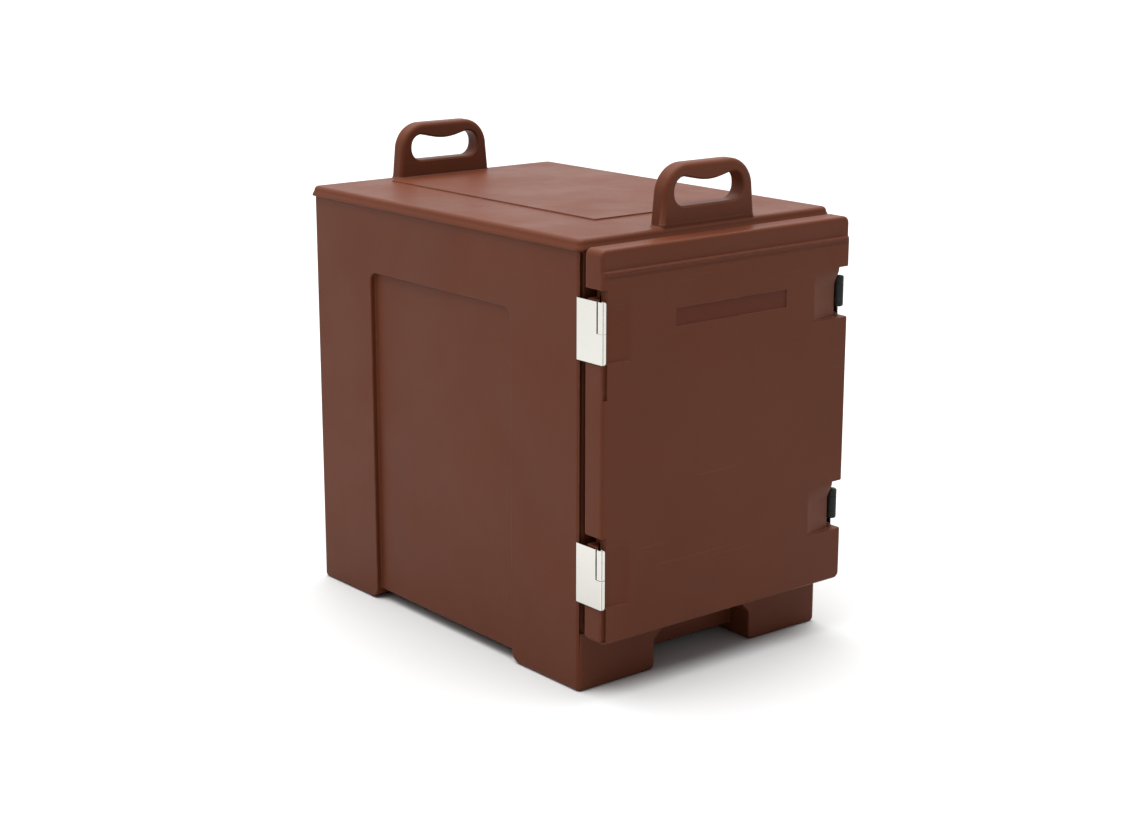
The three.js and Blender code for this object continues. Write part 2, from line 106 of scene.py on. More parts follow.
def rounded_rectangle(us, vs, radii, inset=0.0, steps=6):
    """An outline inset from its edge; its corner radii go anticlockwise from the high-high corner."""
    if not hasattr(radii, "__len__"):
        radii = (radii,) * 4
    kept = [max(radius - inset, 1e-5) for radius in radii]
    u0, u1 = us[0] + inset, us[1] - inset
    v0, v1 = vs[0] + inset, vs[1] - inset
    corners = ((u1, v1, -1, -1), (u0, v1, 1, -1), (u0, v0, 1, 1), (u1, v0, -1, 1))
    outline = []
    for i, (u, v, du, dv) in enumerate(corners):
        centre = (u + du * kept[i], v + dv * kept[i])
        outline += arc(centre, (kept[i], kept[i]), 90 * i, 90 * i + 90, steps)
    return outline


def quarter_round(radius, steps=5):
    """How far a rounded edge advances from its face, and how far inside its side it still is."""
    if radius <= 0:
        return [(0.0, 0.0)]
    turns = [math.radians(90 * i / steps) for i in range(steps + 1)]
    return [(radius * (1 - math.cos(t)), radius * (1 - math.sin(t))) for t in turns]


# An outline's (u, v) is (y, z), (x, z) or (x, y) as it is laid across X, Y or Z.
LAID_ACROSS = {
    "x": lambda u, v, at: (at, u, v),
    "y": lambda u, v, at: (u, at, v),
    "z": lambda u, v, at: (u, v, at),
}


def section(axis, outline, at):
    return [LAID_ACROSS[axis](u, v, at) for u, v in outline]


def piece_from(name, bm):
    bmesh.ops.recalc_face_normals(bm, faces=bm.faces)
    mesh = bpy.data.meshes.new(name)
    bm.to_mesh(mesh)
    bm.free()
    piece = bpy.data.objects.new(name, mesh)
    scene.collection.objects.link(piece)
    return piece


def loft(name, rings, closed=False):
    """A skin over rings of points, capped at both ends, or joined round into a ring."""
    bm = bmesh.new()
    loops = [[bm.verts.new(point) for point in ring] for ring in rings]
    following = loops[1:] + loops[:1] if closed else loops[1:]
    for lower, upper in zip(loops, following):
        for i, vertex in enumerate(lower):
            j = (i + 1) % len(lower)
            bm.faces.new((vertex, lower[j], upper[j], upper[i]))
    if not closed:
        bm.faces.new(loops[0])
        bm.faces.new(loops[-1])
    return piece_from(name, bm)


def prism(axis, outline, start, end, name="tool"):
    return loft(name, [section(axis, outline, start), section(axis, outline, end)])


def block(xs, ys, zs, name="tool"):
    return prism("z", [(xs[0], ys[0]), (xs[1], ys[0]), (xs[1], ys[1]), (xs[0], ys[1])], zs[0], zs[1], name)


def rounded_slab(axis, us, vs, corner, start, end, start_round, end_round, name="tool"):
    rings = [(start + advance, inset) for advance, inset in quarter_round(start_round)]
    rings += [(end - advance, inset) for advance, inset in reversed(quarter_round(end_round))]
    return loft(name, [section(axis, rounded_rectangle(us, vs, corner, inset), at) for at, inset in rings])


def rod(axis, centre, radii, start, end, end_round, sides=32, name="tool"):
    """A round or oval rod with rounded ends."""
    rings = [(start + advance, inset) for advance, inset in quarter_round(end_round)]
    rings += [(end - advance, inset) for advance, inset in reversed(quarter_round(end_round))]
    turns = [360 * i / sides for i in range(sides)]

    def ring(inset):
        across = (radii[0] - inset, radii[1] - inset)
        return [arc(centre, across, turn, turn, 1)[0] for turn in turns]

    return loft(name, [section(axis, ring(inset), at) for at, inset in rings])


def turned(profile, axis, way, seat, sides=32, name="tool"):
    """A lathe-turned piece from (radius, along) points, `along` counted from the seat towards way."""
    rings = []
    for radius, along in profile:
        circle = arc((0.0, 0.0), (radius, radius), 0, 360 * (sides - 1) / sides, sides - 1)
        rings.append(circle_at(circle, axis, way * along, seat))
    return loft(name, rings)


def circle_at(circle, axis, along, seat):
    return [tuple(Vector(LAID_ACROSS[axis](u, v, along)) + Vector(seat)) for u, v in circle]


# ---------------------------------------------------------------- joining, cutting and softening


def settle(piece):
    """Makes the piece's modifiers part of its mesh."""
    bpy.context.view_layer.update()
    made = bpy.data.meshes.new_from_object(piece.evaluated_get(bpy.context.evaluated_depsgraph_get()))
    piece.modifiers.clear()
    piece.data = made
    return piece


def combine(piece, tools, operation):
    for tool in tools:
        modifier = piece.modifiers.new("combine", "BOOLEAN")
        modifier.operation = operation
        modifier.solver = "MANIFOLD"
        modifier.object = tool
    settle(piece)
    for tool in tools:
        bpy.data.objects.remove(tool)
    return piece


def join(piece, *tools):
    return combine(piece, tools, "UNION")


def cut(piece, *tools):
    return combine(piece, tools, "DIFFERENCE")


def soften(piece, width, segments=3, sharper_than=40):
    """Rounds every edge that is sharper than an angle."""
    bevel = piece.modifiers.new("soften", "BEVEL")
    bevel.width = width
    bevel.segments = segments
    bevel.limit_method = "ANGLE"
    bevel.angle_limit = math.radians(sharper_than)
    bevel.use_clamp_overlap = False
    return settle(piece)


def shade(piece):
    """Smooth shading that keeps broad faces flat."""
    for polygon in piece.data.polygons:
        polygon.use_smooth = True
    weighted = piece.modifiers.new("shade", "WEIGHTED_NORMAL")
    weighted.weight = 100
    weighted.keep_sharp = True
    return settle(piece)


def solid_copy(node):
    """A closed copy of a frame node, to cut its space out of a piece."""
    bm = bmesh.new()
    bm.from_mesh(frame["nodes"][node].data)
    bmesh.ops.remove_doubles(bm, verts=bm.verts, dist=1e-6)
    return piece_from("tool", bm)


def deliver(piece, name, body, slot, material, *nodes):
    """Names a finished piece, dresses it and sets it on its body in place of its nodes."""
    shade(piece)
    piece.name = name
    piece.data.name = name
    piece.data.materials.clear()
    piece.data.materials.append(material)
    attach(piece, body)
    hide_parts(*nodes)
    return piece


# ---------------------------------------------------------------- shader node groups


class Patch:
    """Adds nodes to a tree and links them by name."""

    def __init__(self, tree):
        self.tree = tree

    def node(self, kind, settings=(), **inputs):
        made = self.tree.nodes.new(kind)
        for key, value in dict(settings).items():
            setattr(made, key, value)
        for key, value in inputs.items():
            self.feed(made, key.replace("_", " "), value)
        return made

    def feed(self, node, key, value):
        socket = node.inputs[int(key)] if key.isdigit() else node.inputs[key]
        if isinstance(value, bpy.types.NodeSocket):
            self.tree.links.new(value, socket)
        else:
            socket.default_value = value

    def math(self, operation, first, second=0.0, clamp=False):
        made = self.tree.nodes.new("ShaderNodeMath")
        made.operation = operation
        made.use_clamp = clamp
        self.feed(made, "0", first)
        self.feed(made, "1", second)
        return made.outputs[0]

    def remap(self, value, low, high, to_low=0.0, to_high=1.0):
        made = self.node("ShaderNodeMapRange", (("interpolation_type", "SMOOTHSTEP"),), Value=value)
        for key, setting in (("From Min", low), ("From Max", high), ("To Min", to_low), ("To Max", to_high)):
            self.feed(made, key, setting)
        return made.outputs["Result"]

    def noise(self, vector, scale, detail=3.0, roughness=0.5):
        made = self.node(
            "ShaderNodeTexNoise", (), Vector=vector, Scale=scale, Detail=detail, Roughness=roughness)
        return made.outputs["Fac"]

    def blend(self, factor, first, second, mode="MIX"):
        made = self.tree.nodes.new("ShaderNodeMix")
        made.data_type = "RGBA"
        made.blend_type = mode
        self.feed(made, "0", factor)
        self.feed(made, "6", first)
        self.feed(made, "7", second)
        return made.outputs[2]

    def place(self, group, **inputs):
        made = self.tree.nodes.new("ShaderNodeGroup")
        made.node_tree = group
        for key, value in inputs.items():
            self.feed(made, key.replace("_", " "), value)
        return made.outputs


def shader_group(name, inputs, outputs):
    """An empty group with named sockets: (name, kind, value) in and (name, kind) out."""
    tree = bpy.data.node_groups.new(name, "ShaderNodeTree")
    for label, kind, value in inputs:
        socket = tree.interface.new_socket(label, in_out="INPUT", socket_type=f"NodeSocket{kind}")
        if value is not None:
            socket.default_value = value
    for label, kind in outputs:
        tree.interface.new_socket(label, in_out="OUTPUT", socket_type=f"NodeSocket{kind}")
    patch = Patch(tree)
    entry = tree.nodes.new("NodeGroupInput")
    leave = tree.nodes.new("NodeGroupOutput")
    return tree, patch, entry.outputs, leave.inputs


def make_moulded_grain():
    """The fine pebble that a sandblasted mould leaves, over a slow waviness."""
    tree, patch, given, out = shader_group(
        "moulded_grain",
        (("Vector", "Vector", None), ("Pebble Scale", "Float", 700.0), ("Pebble", "Float", 1.0),
         ("Waviness", "Float", 1.0)),
        (("Height", "Float"),))
    pebble = patch.noise(given["Vector"], given["Pebble Scale"], 2.0, 0.6)
    slow = patch.noise(given["Vector"], 14.0, 1.0, 0.4)
    raised = patch.math("MULTIPLY", pebble, given["Pebble"])
    waved = patch.math("MULTIPLY", slow, given["Waviness"])
    tree.links.new(patch.math("ADD", raised, waved), out["Height"])
    return tree


def make_colour_drift():
    """Slow cloudiness and fine specks in a pigmented plastic."""
    tree, patch, given, out = shader_group(
        "colour_drift",
        (("Vector", "Vector", None), ("Base", "Color", (0.5, 0.5, 0.5, 1)), ("Light", "Color", (1, 1, 1, 1)),
         ("Dark", "Color", (0, 0, 0, 1)), ("Drift", "Float", 0.3), ("Specks", "Float", 0.2)),
        (("Color", "Color"),))
    cloud = patch.remap(patch.noise(given["Vector"], 5.0, 4.0, 0.55), 0.35, 0.7)
    fine = patch.remap(patch.noise(given["Vector"], 420.0, 2.0, 0.7), 0.58, 0.75)
    clouded = patch.blend(patch.math("MULTIPLY", cloud, given["Drift"]), given["Base"], given["Light"])
    specked = patch.blend(patch.math("MULTIPLY", fine, given["Specks"]), clouded, given["Dark"])
    tree.links.new(specked, out["Color"])
    return tree


def make_edge_wear():
    """A mask along worn outer edges, broken up by rubbing."""
    tree, patch, given, out = shader_group(
        "edge_wear",
        (("Vector", "Vector", None), ("Width", "Float", 0.002), ("Amount", "Float", 1.0)),
        (("Mask", "Float"),))
    softened = patch.node("ShaderNodeBevel", (("samples", 4),), Radius=given["Width"])
    true_normal = tree.nodes.new("ShaderNodeNewGeometry").outputs["Normal"]
    together = patch.node("ShaderNodeVectorMath", (("operation", "DOT_PRODUCT"),))
    patch.feed(together, "0", softened.outputs[0])
    patch.feed(together, "1", true_normal)
    bend = patch.math("SUBTRACT", 1.0, together.outputs["Value"])
    edge = patch.remap(bend, 0.01, 0.12)
    rubbed = patch.remap(patch.noise(given["Vector"], 60.0, 5.0, 0.65), 0.42, 0.62)
    worn = patch.math("MULTIPLY", edge, rubbed)
    tree.links.new(patch.math("MULTIPLY", worn, given["Amount"]), out["Mask"])
    return tree


def make_handling_marks():
    """Roughness that varies with smudges, wiping and faint scratches."""
    tree, patch, given, out = shader_group(
        "handling_marks",
        (("Vector", "Vector", None), ("Smooth", "Float", 0.3), ("Rough", "Float", 0.5),
         ("Scratches", "Float", 0.3)),
        (("Roughness", "Float"), ("Scratch", "Float")))
    smudge = patch.noise(given["Vector"], 9.0, 5.0, 0.6)
    stretched = patch.node("ShaderNodeMapping", (), Vector=given["Vector"])
    stretched.inputs["Rotation"].default_value = (0.5, 0.7, 0.9)
    stretched.inputs["Scale"].default_value = (6.0, 340.0, 260.0)
    streak = patch.noise(stretched.outputs[0], 1.0, 2.0, 0.5)
    scratch = patch.math("MULTIPLY", patch.remap(streak, 0.68, 0.74), given["Scratches"])
    base = patch.remap(smudge, 0.3, 0.7, given["Smooth"], given["Rough"])
    tree.links.new(patch.math("ADD", base, patch.math("MULTIPLY", scratch, 0.15)), out["Roughness"])
    tree.links.new(scratch, out["Scratch"])
    return tree


def make_brushed_lines():
    """Fine parallel polishing lines along Z."""
    tree, patch, given, out = shader_group(
        "brushed_lines",
        (("Vector", "Vector", None), ("Fineness", "Float", 1500.0)),
        (("Height", "Float"),))
    drawn = patch.node("ShaderNodeMapping", (), Vector=given["Vector"])
    drawn.inputs["Scale"].default_value = (1.0, 1.0, 0.02)
    tree.links.new(patch.noise(drawn.outputs[0], given["Fineness"], 2.0, 0.6), out["Height"])
    return tree


GRAIN = make_moulded_grain()
DRIFT = make_colour_drift()
WEAR = make_edge_wear()
MARKS = make_handling_marks()
BRUSHED = make_brushed_lines()

# ---------------------------------------------------------------- materials


def start_material(name):
    material = bpy.data.materials.new(name)
    material.use_nodes = True
    tree = material.node_tree
    tree.nodes.clear()
    output = tree.nodes.new("ShaderNodeOutputMaterial")
    shader = tree.nodes.new("ShaderNodeBsdfPrincipled")
    tree.links.new(shader.outputs[0], output.inputs["Surface"])
    where = tree.nodes.new("ShaderNodeTexCoord").outputs["Object"]
    return material, Patch(tree), shader, where


def raise_surface(patch, shader, height, distance, strength=1.0):
    bump = patch.node("ShaderNodeBump", (), Height=height, Distance=distance, Strength=strength)
    patch.tree.links.new(bump.outputs[0], shader.inputs["Normal"])


def moulded_plastic(name, base, light, dark, worn, smooth, rough, pebble, drift=0.5, wear=0.5):
    """A pigmented, moulded polyethylene with a pebbled skin."""
    material, patch, shader, where = start_material(name)
    colour = patch.place(
        DRIFT, Vector=where, Base=base, Light=light, Dark=dark, Drift=drift, Specks=0.25)["Color"]
    mask = patch.place(WEAR, Vector=where, Width=0.0025, Amount=wear)["Mask"]
    marks = patch.place(MARKS, Vector=where, Smooth=smooth, Rough=rough, Scratches=0.35)
    scuffed = patch.blend(patch.math("MULTIPLY", marks["Scratch"], 0.35), colour, worn)
    patch.feed(shader, "Base Color", patch.blend(mask, scuffed, worn))
    patch.feed(shader, "Roughness", marks["Roughness"])
    shader.inputs["IOR"].default_value = 1.20
    height = patch.place(GRAIN, Vector=where, Pebble_Scale=700.0, Pebble=pebble, Waviness=1.5)["Height"]
    raise_surface(patch, shader, height, 0.0001)
    return material


def polished_steel(name, base, smooth, rough, lines):
    """Stainless sheet, polished along its length and lightly marked by hands."""
    material, patch, shader, where = start_material(name)
    marks = patch.place(MARKS, Vector=where, Smooth=smooth, Rough=rough, Scratches=0.5)
    dulled = tuple(0.8 * part for part in base[:3]) + (1.0,)
    patch.feed(shader, "Base Color", patch.blend(marks["Scratch"], base, dulled))
    patch.feed(shader, "Roughness", marks["Roughness"])
    shader.inputs["Metallic"].default_value = 1.0
    height = patch.place(BRUSHED, Vector=where, Fineness=1500.0)["Height"]
    raise_surface(patch, shader, height, 0.00002, lines)
    return material


def rigid_foam():
    """Poured polyurethane foam: pale, matt and full of small cells."""
    material, patch, shader, where = start_material("poured_foam")
    colour = patch.place(
        DRIFT, Vector=where, Base=(0.80, 0.69, 0.40, 1), Light=(0.86, 0.77, 0.5, 1),
        Dark=(0.55, 0.45, 0.22, 1), Drift=0.7, Specks=0.8)["Color"]
    patch.feed(shader, "Base Color", colour)
    shader.inputs["Roughness"].default_value = 0.9
    cells = patch.node("ShaderNodeTexVoronoi", (), Vector=where, Scale=900.0)
    raise_surface(patch, shader, cells.outputs["Distance"], 0.0006)
    return material


MOULDED_BROWN = moulded_plastic(
    "moulded_brown", base=(0.098, 0.026, 0.011, 1), light=(0.112, 0.031, 0.014, 1),
    dark=(0.060, 0.016, 0.007, 1), worn=(0.17, 0.085, 0.062, 1), smooth=0.38, rough=0.50, pebble=1.0,
    wear=0.3)
PLAQUE_BROWN = moulded_plastic(
    "plaque_brown", base=(0.082, 0.019, 0.008, 1), light=(0.092, 0.023, 0.010, 1),
    dark=(0.058, 0.013, 0.006, 1), worn=(0.15, 0.06, 0.04, 1), smooth=0.42, rough=0.52, pebble=0.4)
LINER_BROWN = moulded_plastic(
    "liner_brown", base=(0.095, 0.038, 0.025, 1), light=(0.115, 0.048, 0.032, 1),
    dark=(0.060, 0.024, 0.016, 1), worn=(0.19, 0.10, 0.075, 1), smooth=0.30, rough=0.42, pebble=0.5)
BLACK_NYLON = moulded_plastic(
    "black_nylon", base=(0.016, 0.018, 0.016, 1), light=(0.028, 0.031, 0.027, 1),
    dark=(0.008, 0.009, 0.008, 1), worn=(0.07, 0.075, 0.07, 1), smooth=0.28, rough=0.42, pebble=0.6)
GASKET_RUBBER = moulded_plastic(
    "gasket_rubber", base=(0.012, 0.012, 0.012, 1), light=(0.02, 0.02, 0.02, 1),
    dark=(0.006, 0.006, 0.006, 1), worn=(0.04, 0.04, 0.04, 1), smooth=0.55, rough=0.75, pebble=0.8)
LATCH_STEEL = polished_steel("latch_steel", (0.62, 0.61, 0.565, 1), 0.14, 0.26, 0.35)
PLAIN_STEEL = polished_steel("plain_steel", (0.72, 0.72, 0.71, 1), 0.28, 0.42, 0.8)
POURED_FOAM = rigid_foam()

# ---------------------------------------------------------------- cabinet

CORNER = 0.007
SHELL_EDGE = 0.0018
FOOT_ROUND = 0.0055
RECESS_HALF = HALF_WIDTH - 0.129
RECESS_TOP = openings["front_lifting_recess"][1][2] + 0.001
RECESS_DEEP = openings["front_lifting_recess"][1][1] + 0.001 - RIM_Y
COLUMN = 0.141
PANEL_RECESS = 0.008
PANEL_FRONT_RECESS = 0.004
PANEL_TOP = 0.482
PANEL_CORNER = 0.012
MOUTH_CORNER = 0.004
RIM_CHANNEL = {"outer": 0.0022, "inner": 0.0085, "deep": 0.009}


def flared_gap(low, high, run, rise, top, steps=5):
    """A gap's outline, its mouth flared downwards by a quarter ellipse at each side."""
    left = arc((low - run, rise), (run, rise), -90, 0, steps)
    right = arc((high + run, rise), (run, rise), 180, 270, steps)
    below = -0.002
    return [(low - run, below), *left, (low, top), (high, top), *right, (high + run, below)]


def side_panel(way):
    """The recess between a side's columns, deepest at the rear column; way is -1 for the left side."""
    front, back = RIM_Y + COLUMN, BACK_Y - COLUMN
    below = -0.05
    outline = rounded_rectangle((front, back), (below, PANEL_TOP), PANEL_CORNER)
    outside = way * (HALF_WIDTH + BEYOND)
    rear_floor = way * (HALF_WIDTH - PANEL_RECESS)
    front_floor = way * (HALF_WIDTH - PANEL_FRONT_RECESS)
    panel = prism("x", outline, outside, way * (HALF_WIDTH - 2 * PANEL_RECESS))
    slope = [
        (outside, front - BEYOND), (outside, back + BEYOND), (rear_floor, back + BEYOND), (rear_floor, back),
        (front_floor, front - BEYOND)]
    return combine(panel, [prism("z", slope, below - BEYOND, PANEL_TOP + BEYOND)], "INTERSECT")


def cabinet_body():
    body = rounded_slab(
        "z", (-HALF_WIDTH, HALF_WIDTH), (RIM_Y, BACK_Y), CORNER, 0.0, DECK_Z - 0.01, FOOT_ROUND, 0,
        "cabinet_shell_moulding")
    lengthwise = flared_gap(-RECESS_HALF, RECESS_HALF, 0.010, 0.010, UNDERSIDE_Z)
    crosswise = flared_gap(RIM_Y + COLUMN, BACK_Y - COLUMN, 0.022, UNDERSIDE_Z, UNDERSIDE_Z)
    cut(body,
        prism("y", lengthwise, RIM_Y - BEYOND, BACK_Y + BEYOND),
        prism("x", crosswise, -HALF_WIDTH - BEYOND, HALF_WIDTH + BEYOND))
    chamfer = 0.020
    finger_space = [
        (-RECESS_HALF, UNDERSIDE_Z - 0.004), (RECESS_HALF, UNDERSIDE_Z - 0.004),
        (RECESS_HALF, RECESS_TOP - chamfer), (RECESS_HALF - chamfer, RECESS_TOP),
        (chamfer - RECESS_HALF, RECESS_TOP), (-RECESS_HALF, RECESS_TOP - chamfer)]
    cut(body,
        prism("y", finger_space, RIM_Y - BEYOND, RIM_Y + RECESS_DEEP),
        prism("y", finger_space, BACK_Y - RECESS_DEEP, BACK_Y + BEYOND),
        side_panel(-1),
        side_panel(1))
    mouth_outline = rounded_rectangle(
        (liner_low.x - FIT, liner_high.x + FIT), (liner_low.z - FIT, liner_high.z + FIT), MOUTH_CORNER)
    cut(body, prism("y", mouth_outline, RIM_Y - BEYOND, liner_high.y + FIT))
    soften(body, SHELL_EDGE, 4)
    return cut(body, rim_channel(-1), rim_channel(1))


def rim_channel(way):
    """The shallow channel in the rim, behind one side edge of the door."""
    across = sorted(way * (HALF_WIDTH - RIM_CHANNEL[side]) for side in ("outer", "inner"))
    return block(across, (RIM_Y - BEYOND, RIM_Y + RIM_CHANNEL["deep"]), (door_low.z + 0.003, DECK_Z - 0.013))


def lid_profile():
    """(height, how far outside the cabinet's side) up the lid's edge, from under its lip to the deck."""
    top_round = 0.0065
    lip_z = DECK_Z - 0.014
    under = [(lip_z - 0.004, -0.004), (lip_z, 0.0), (lip_z, LIP - 0.0008), (lip_z + 0.0006, LIP)]
    flare = [(lip_z + 0.0022, LIP), (lip_z + 0.005, 0.0030)]
    crown = [
        (DECK_Z - advance, 0.0016 - inset) for advance, inset in reversed(quarter_round(top_round, 6))]
    return under + flare + crown


def lid_slab():
    rings = []
    for z, out in lid_profile():
        outline = rounded_rectangle(
            (-HALF_WIDTH - out, HALF_WIDTH + out), (RIM_Y - out, BACK_Y + out), CORNER + out, 0.0, 8)
        rings.append(section("z", outline, z))
    return loft("lid", rings)


def stacking_panel():
    half, front, back = 0.105, RIM_Y + 0.103, RIM_Y + 0.565
    return rounded_slab(
        "z", (-half, half), (front, back), 0.005, DECK_Z - 0.003, DECK_Z + STACKING_RISE, 0, 0.0008)


HANDLE_HALF = 0.081
HANDLE_TOP_HALF = 0.077
HANDLE_THICK = 0.025
SHOULDER = 0.040
HANDLE_EDGE = 0.0065


def handle_outline(inset):
    top = HANDLE_TOP - inset
    radius = SHOULDER - inset
    half = HANDLE_TOP_HALF - inset
    right = arc((half - radius, top - radius), (radius, radius), 0, 90, 10)
    left = arc((radius - half, top - radius), (radius, radius), 90, 180, 10)
    base = HANDLE_HALF - inset
    low = DECK_Z - 0.006
    return [(-base, low), (base, low), (base, DECK_Z), *right, *left, (-base, DECK_Z)]


def grip_outline(outset):
    """The hand hole, its top edge bulging down to fill the fingers' grip."""
    half, low, high, radius, bulge = 0.059, DECK_Z + 0.025, DECK_Z + 0.062, 0.017, 0.007
    grown = radius + outset
    u, v0, v1 = half - radius, low + radius, high - radius
    corners = arc((-u, v0), (grown, grown), 180, 270, 8) + arc((u, v0), (grown, grown), 270, 360, 8)
    corners += arc((u, v1), (grown, grown), 0, 90, 8)
    steps = 14
    top = []
    for i in range(1, steps):
        across = 1 - 2 * i / steps
        top.append((u * across, high + outset - bulge * (1 - across * across) ** 1.5))
    return corners + top + arc((-u, v1), (grown, grown), 90, 180, 8)


def handle(front, outer_way):
    """A carrying handle; outer_way is -1 where its flat outer face is on the front, +1 on the back."""
    back = front + HANDLE_THICK
    rings = [(front + advance, inset) for advance, inset in quarter_round(HANDLE_EDGE, 6)]
    rings += [(back - advance, inset) for advance, inset in reversed(quarter_round(HANDLE_EDGE, 6))]
    arch = loft("handle", [section("y", handle_outline(inset), at) for at, inset in rings])
    hole_edge = 0.0036
    rounds = quarter_round(hole_edge, 6)[1:]
    flares = [(front - 0.002, hole_edge)] + [(front + advance, inset) for advance, inset in rounds]
    flares += [(back - advance, inset) for advance, inset in reversed(rounds)] + [(back + 0.002, hole_edge)]
    cut(arch, loft("tool", [section("y", grip_outline(outset), at) for at, outset in flares]))
    return join(arch, handle_foot(front, back, outer_way))


def handle_foot(front, back, outer_way):
    """The flared foot that blends a handle into the deck."""
    reach = 0.0045
    rings = [section("z", foot_outline(front, back, outer_way, reach), DECK_Z - 0.004)]
    for advance, inset in quarter_round(reach, 6):
        rings.append(section("z", foot_outline(front, back, outer_way, inset), DECK_Z + advance))
    return loft("tool", rings)


def foot_outline(front, back, outer_way, out):
    inner = out
    outer = 0.001
    low = front - (outer if outer_way < 0 else inner)
    high = back + (inner if outer_way < 0 else outer)
    side = HANDLE_HALF - 0.0005 + out * 0.8
    return rounded_rectangle((-side, side), (low + 0.0006, high - 0.0006), HANDLE_EDGE + out * 0.5)


def cabinet_shell():
    shell = cabinet_body()
    join(shell, lid_slab())
    join(shell, stacking_panel())
    inset = 0.0005
    join(shell, handle(RIM_Y + inset, -1), handle(BACK_Y - HANDLE_THICK - inset, 1))
    cut(shell, solid_copy("cabinet_foam"))
    plug_low, plug_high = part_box("cabinet_fill_plug")
    middle = ((plug_low.x + plug_high.x) / 2, (plug_low.z + plug_high.z) / 2)
    stem = PLUG_STEM + FIT
    cut(shell, rod("y", middle, (stem, stem), BACK_Y - 0.012, BACK_Y + 0.01, 0))
    return deliver(
        shell, "cabinet_shell_moulding", "cabinet", "moulded_brown", MOULDED_BROWN, "cabinet_shell")


# ---------------------------------------------------------------- liner with its rails

WALL = 0.004


def rail_levels():
    """(underside, top) of each pair of pan rails, between one bay and the next."""
    bays = [openings[f"pan_bay_{i}"] for i in range(1, 8)]
    clear = 0.001
    return [(below[1][2] + clear, above[0][2] - clear) for below, above in zip(bays, bays[1:])]


def cabinet_liner():
    liner = rounded_slab(
        "y", (liner_low.x, liner_high.x), (liner_low.z, liner_high.z), MOUTH_CORNER,
        liner_low.y, liner_high.y, 0, 0.003, "liner")
    us = (liner_low.x + WALL, liner_high.x - WALL)
    vs = (liner_low.z + WALL, liner_high.z - WALL)
    cut(liner, rounded_slab("y", us, vs, 0.016, RIM_Y - 0.01, liner_high.y - WALL, 0, 0.012))
    reach = 0.014
    for low, high in rail_levels():
        ys = (RIM_Y + 0.020, RIM_Y + 0.528)
        join(liner,
             rounded_slab("x", ys, (low, high), 0.0045, us[0] - 0.002, us[0] + reach, 0, 0.004),
             rounded_slab("x", ys, (low, high), 0.0045, us[1] - reach, us[1] + 0.002, 0.004, 0))
    soften(liner, 0.0012, 2)
    return deliver(liner, "pan_liner_with_rails", "cabinet", "liner_brown", LINER_BROWN, "cabinet_liner")


# ---------------------------------------------------------------- door

DOOR_CORNER = 0.009
DOOR_EDGE = 0.0042
BEAD_TOP = 0.554
BEAD_HIGH = 0.0045
BEAD_END = 0.0048
BAND_SET_BACK = 0.0022
PLAQUE = {"x": (-0.095, 0.098), "z": (0.472, 0.4955), "deep": 0.0015}
LATCHES = ("upper", "lower")
POCKET_HIGH = 0.092
SCOOP_LATCH = {"start": -0.167, "end": -0.220, "deep": 0.0056, "fade": 0.034, "fall": 0.55}
NOTCH_HALF = 0.034
SCOOP_HINGE = {"start": 0.147, "end": 0.1985, "deep": 0.009, "fade": 0.026, "fall": 0.85}
NOTCH = {"left": 0.1965, "slot_left": 0.199, "slot_half": 0.023, "floor": DOOR_FRONT + 0.018}
POCKET = {"floor": -0.2106, "corner": -0.2075, "corner_deep": 0.0078, "free": -0.1960, "free_deep": 0.0095}
GROOVE = {"x": (-0.2135, -0.2072), "deep": 0.0036}
AHEAD = DOOR_FRONT - 0.006  # in front of everything on the door
BEHIND = DOOR_BACK + 0.006


def latch_low(place):
    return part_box(f"{place}_latch_lever")[0].z


def hinge_middle(place):
    low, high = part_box(f"{place}_hinge_pin")
    return (low.z + high.z) / 2


def scoop(low, high, start, end, deep, fade, fall):
    """A hollow in the door's front that deepens from start to end and fades out towards its top."""
    ahead = DOOR_FRONT - 0.004
    lead = 0.00003  # starts it just outside the door's front, so that its edge stays clean
    steps = 8
    levels = [(low, 1.0)] + [
        (high - fade * (1 - step / steps), 0.5 + 0.5 * math.cos(math.pi * step / steps))
        for step in range(steps + 1)]
    rings = []
    for z, share in levels:
        shares = [step / steps for step in range(steps + 1)]
        floor = [
            (start + (end - start) * along, DOOR_FRONT + deep * share * along ** fall - lead, z)
            for along in shares]
        rings.append([(start, ahead, z), (end, ahead, z), *reversed(floor)])
    return loft("tool", rings)


def latch_pocket(place):
    low = latch_low(place) - 0.0005
    high = low + POCKET_HIGH
    outside = -HALF_WIDTH - 0.006
    latch_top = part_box(f"{place}_latch_lever")[1].z
    pocket = block((outside, POCKET["floor"]), (AHEAD, BEHIND), (low, high))
    corner = block((outside, POCKET["corner"]), (AHEAD, DOOR_FRONT + POCKET["corner_deep"]), (low, high))
    free = block(
        (outside, POCKET["free"]), (DOOR_FRONT + POCKET["free_deep"], BEHIND), (latch_top + 0.0005, high))
    return [pocket, corner, scoop(low, high, **SCOOP_LATCH), free]


def hinge_notch(place):
    middle = hinge_middle(place)
    low, high = middle - NOTCH_HALF, middle + NOTCH_HALF
    outside = HALF_WIDTH + 0.006
    slot_z = (middle - NOTCH["slot_half"], middle + NOTCH["slot_half"])
    recess = block((NOTCH["left"], outside), (AHEAD, NOTCH["floor"]), (low, high))
    slot = block((NOTCH["slot_left"], outside), (AHEAD, BEHIND), slot_z)
    return [scoop(low, high, **SCOOP_HINGE), recess, slot]


def latch_groove(low, high):
    return block(GROOVE["x"], (AHEAD, DOOR_FRONT + GROOVE["deep"]), (low, high))


